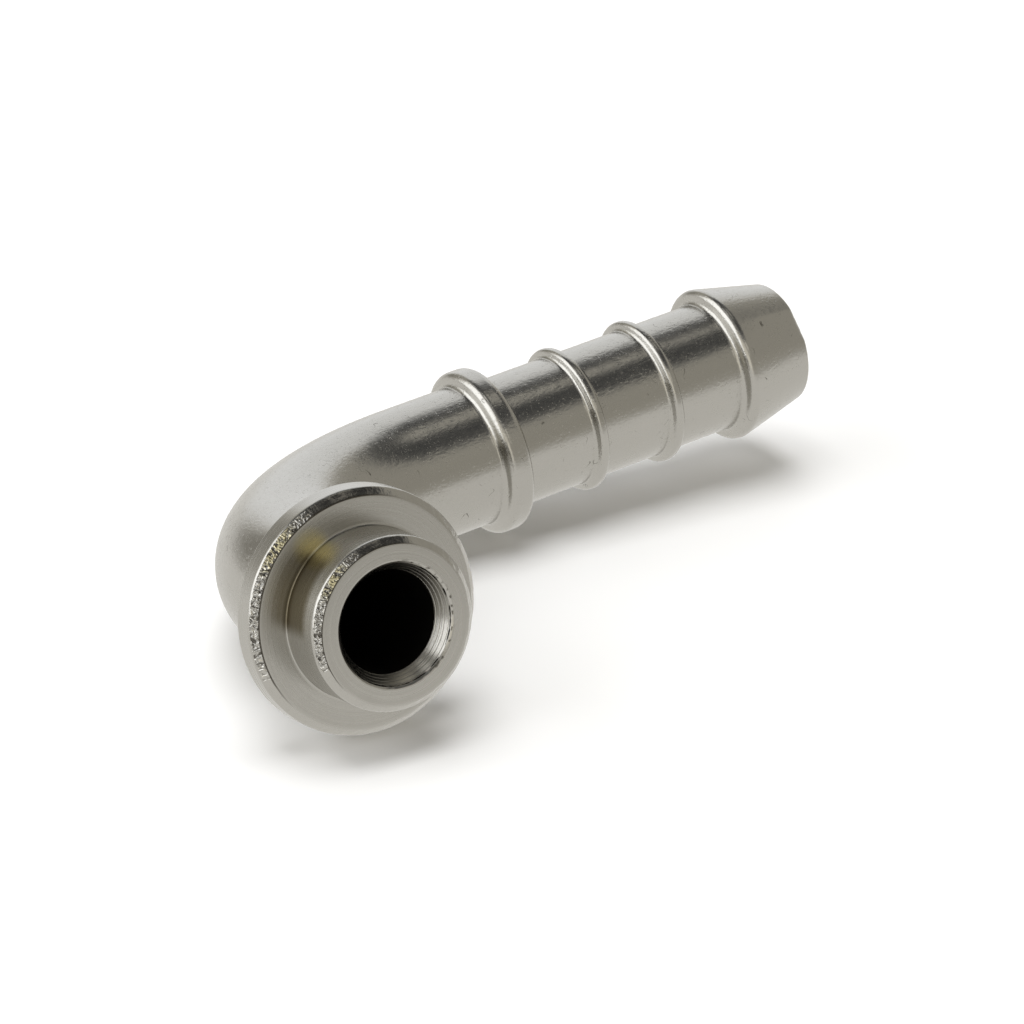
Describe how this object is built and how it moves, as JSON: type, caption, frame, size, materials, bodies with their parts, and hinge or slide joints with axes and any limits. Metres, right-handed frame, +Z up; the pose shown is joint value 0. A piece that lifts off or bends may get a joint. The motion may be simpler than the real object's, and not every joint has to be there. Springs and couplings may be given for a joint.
{
  "type": "hose fitting",
  "caption": "Ninety-degree hose fitting: a bent metal tube with a ribbed, barbed hose tail on one leg and a flanged spigot on the other, bored through.",
  "frame": {"origin": "on the floor under the middle of the fitting's box, as it lies at rest", "axes": "+Z up; +X along the hose leg towards its tip, level; the spigot points to -Y. The plane of the bend leans as the fitting rests: the hose tail rises by 5.65 degrees and the spigot by 11.62 degrees."},
  "size_m": [0.0628, 0.0372, 0.0184],
  "materials": {
    "plated_brass": "satin nickel plate over brass"
  },
  "bodies": {
    "root": {"fitting": "plated_brass"}
  },
  "joints": []
}
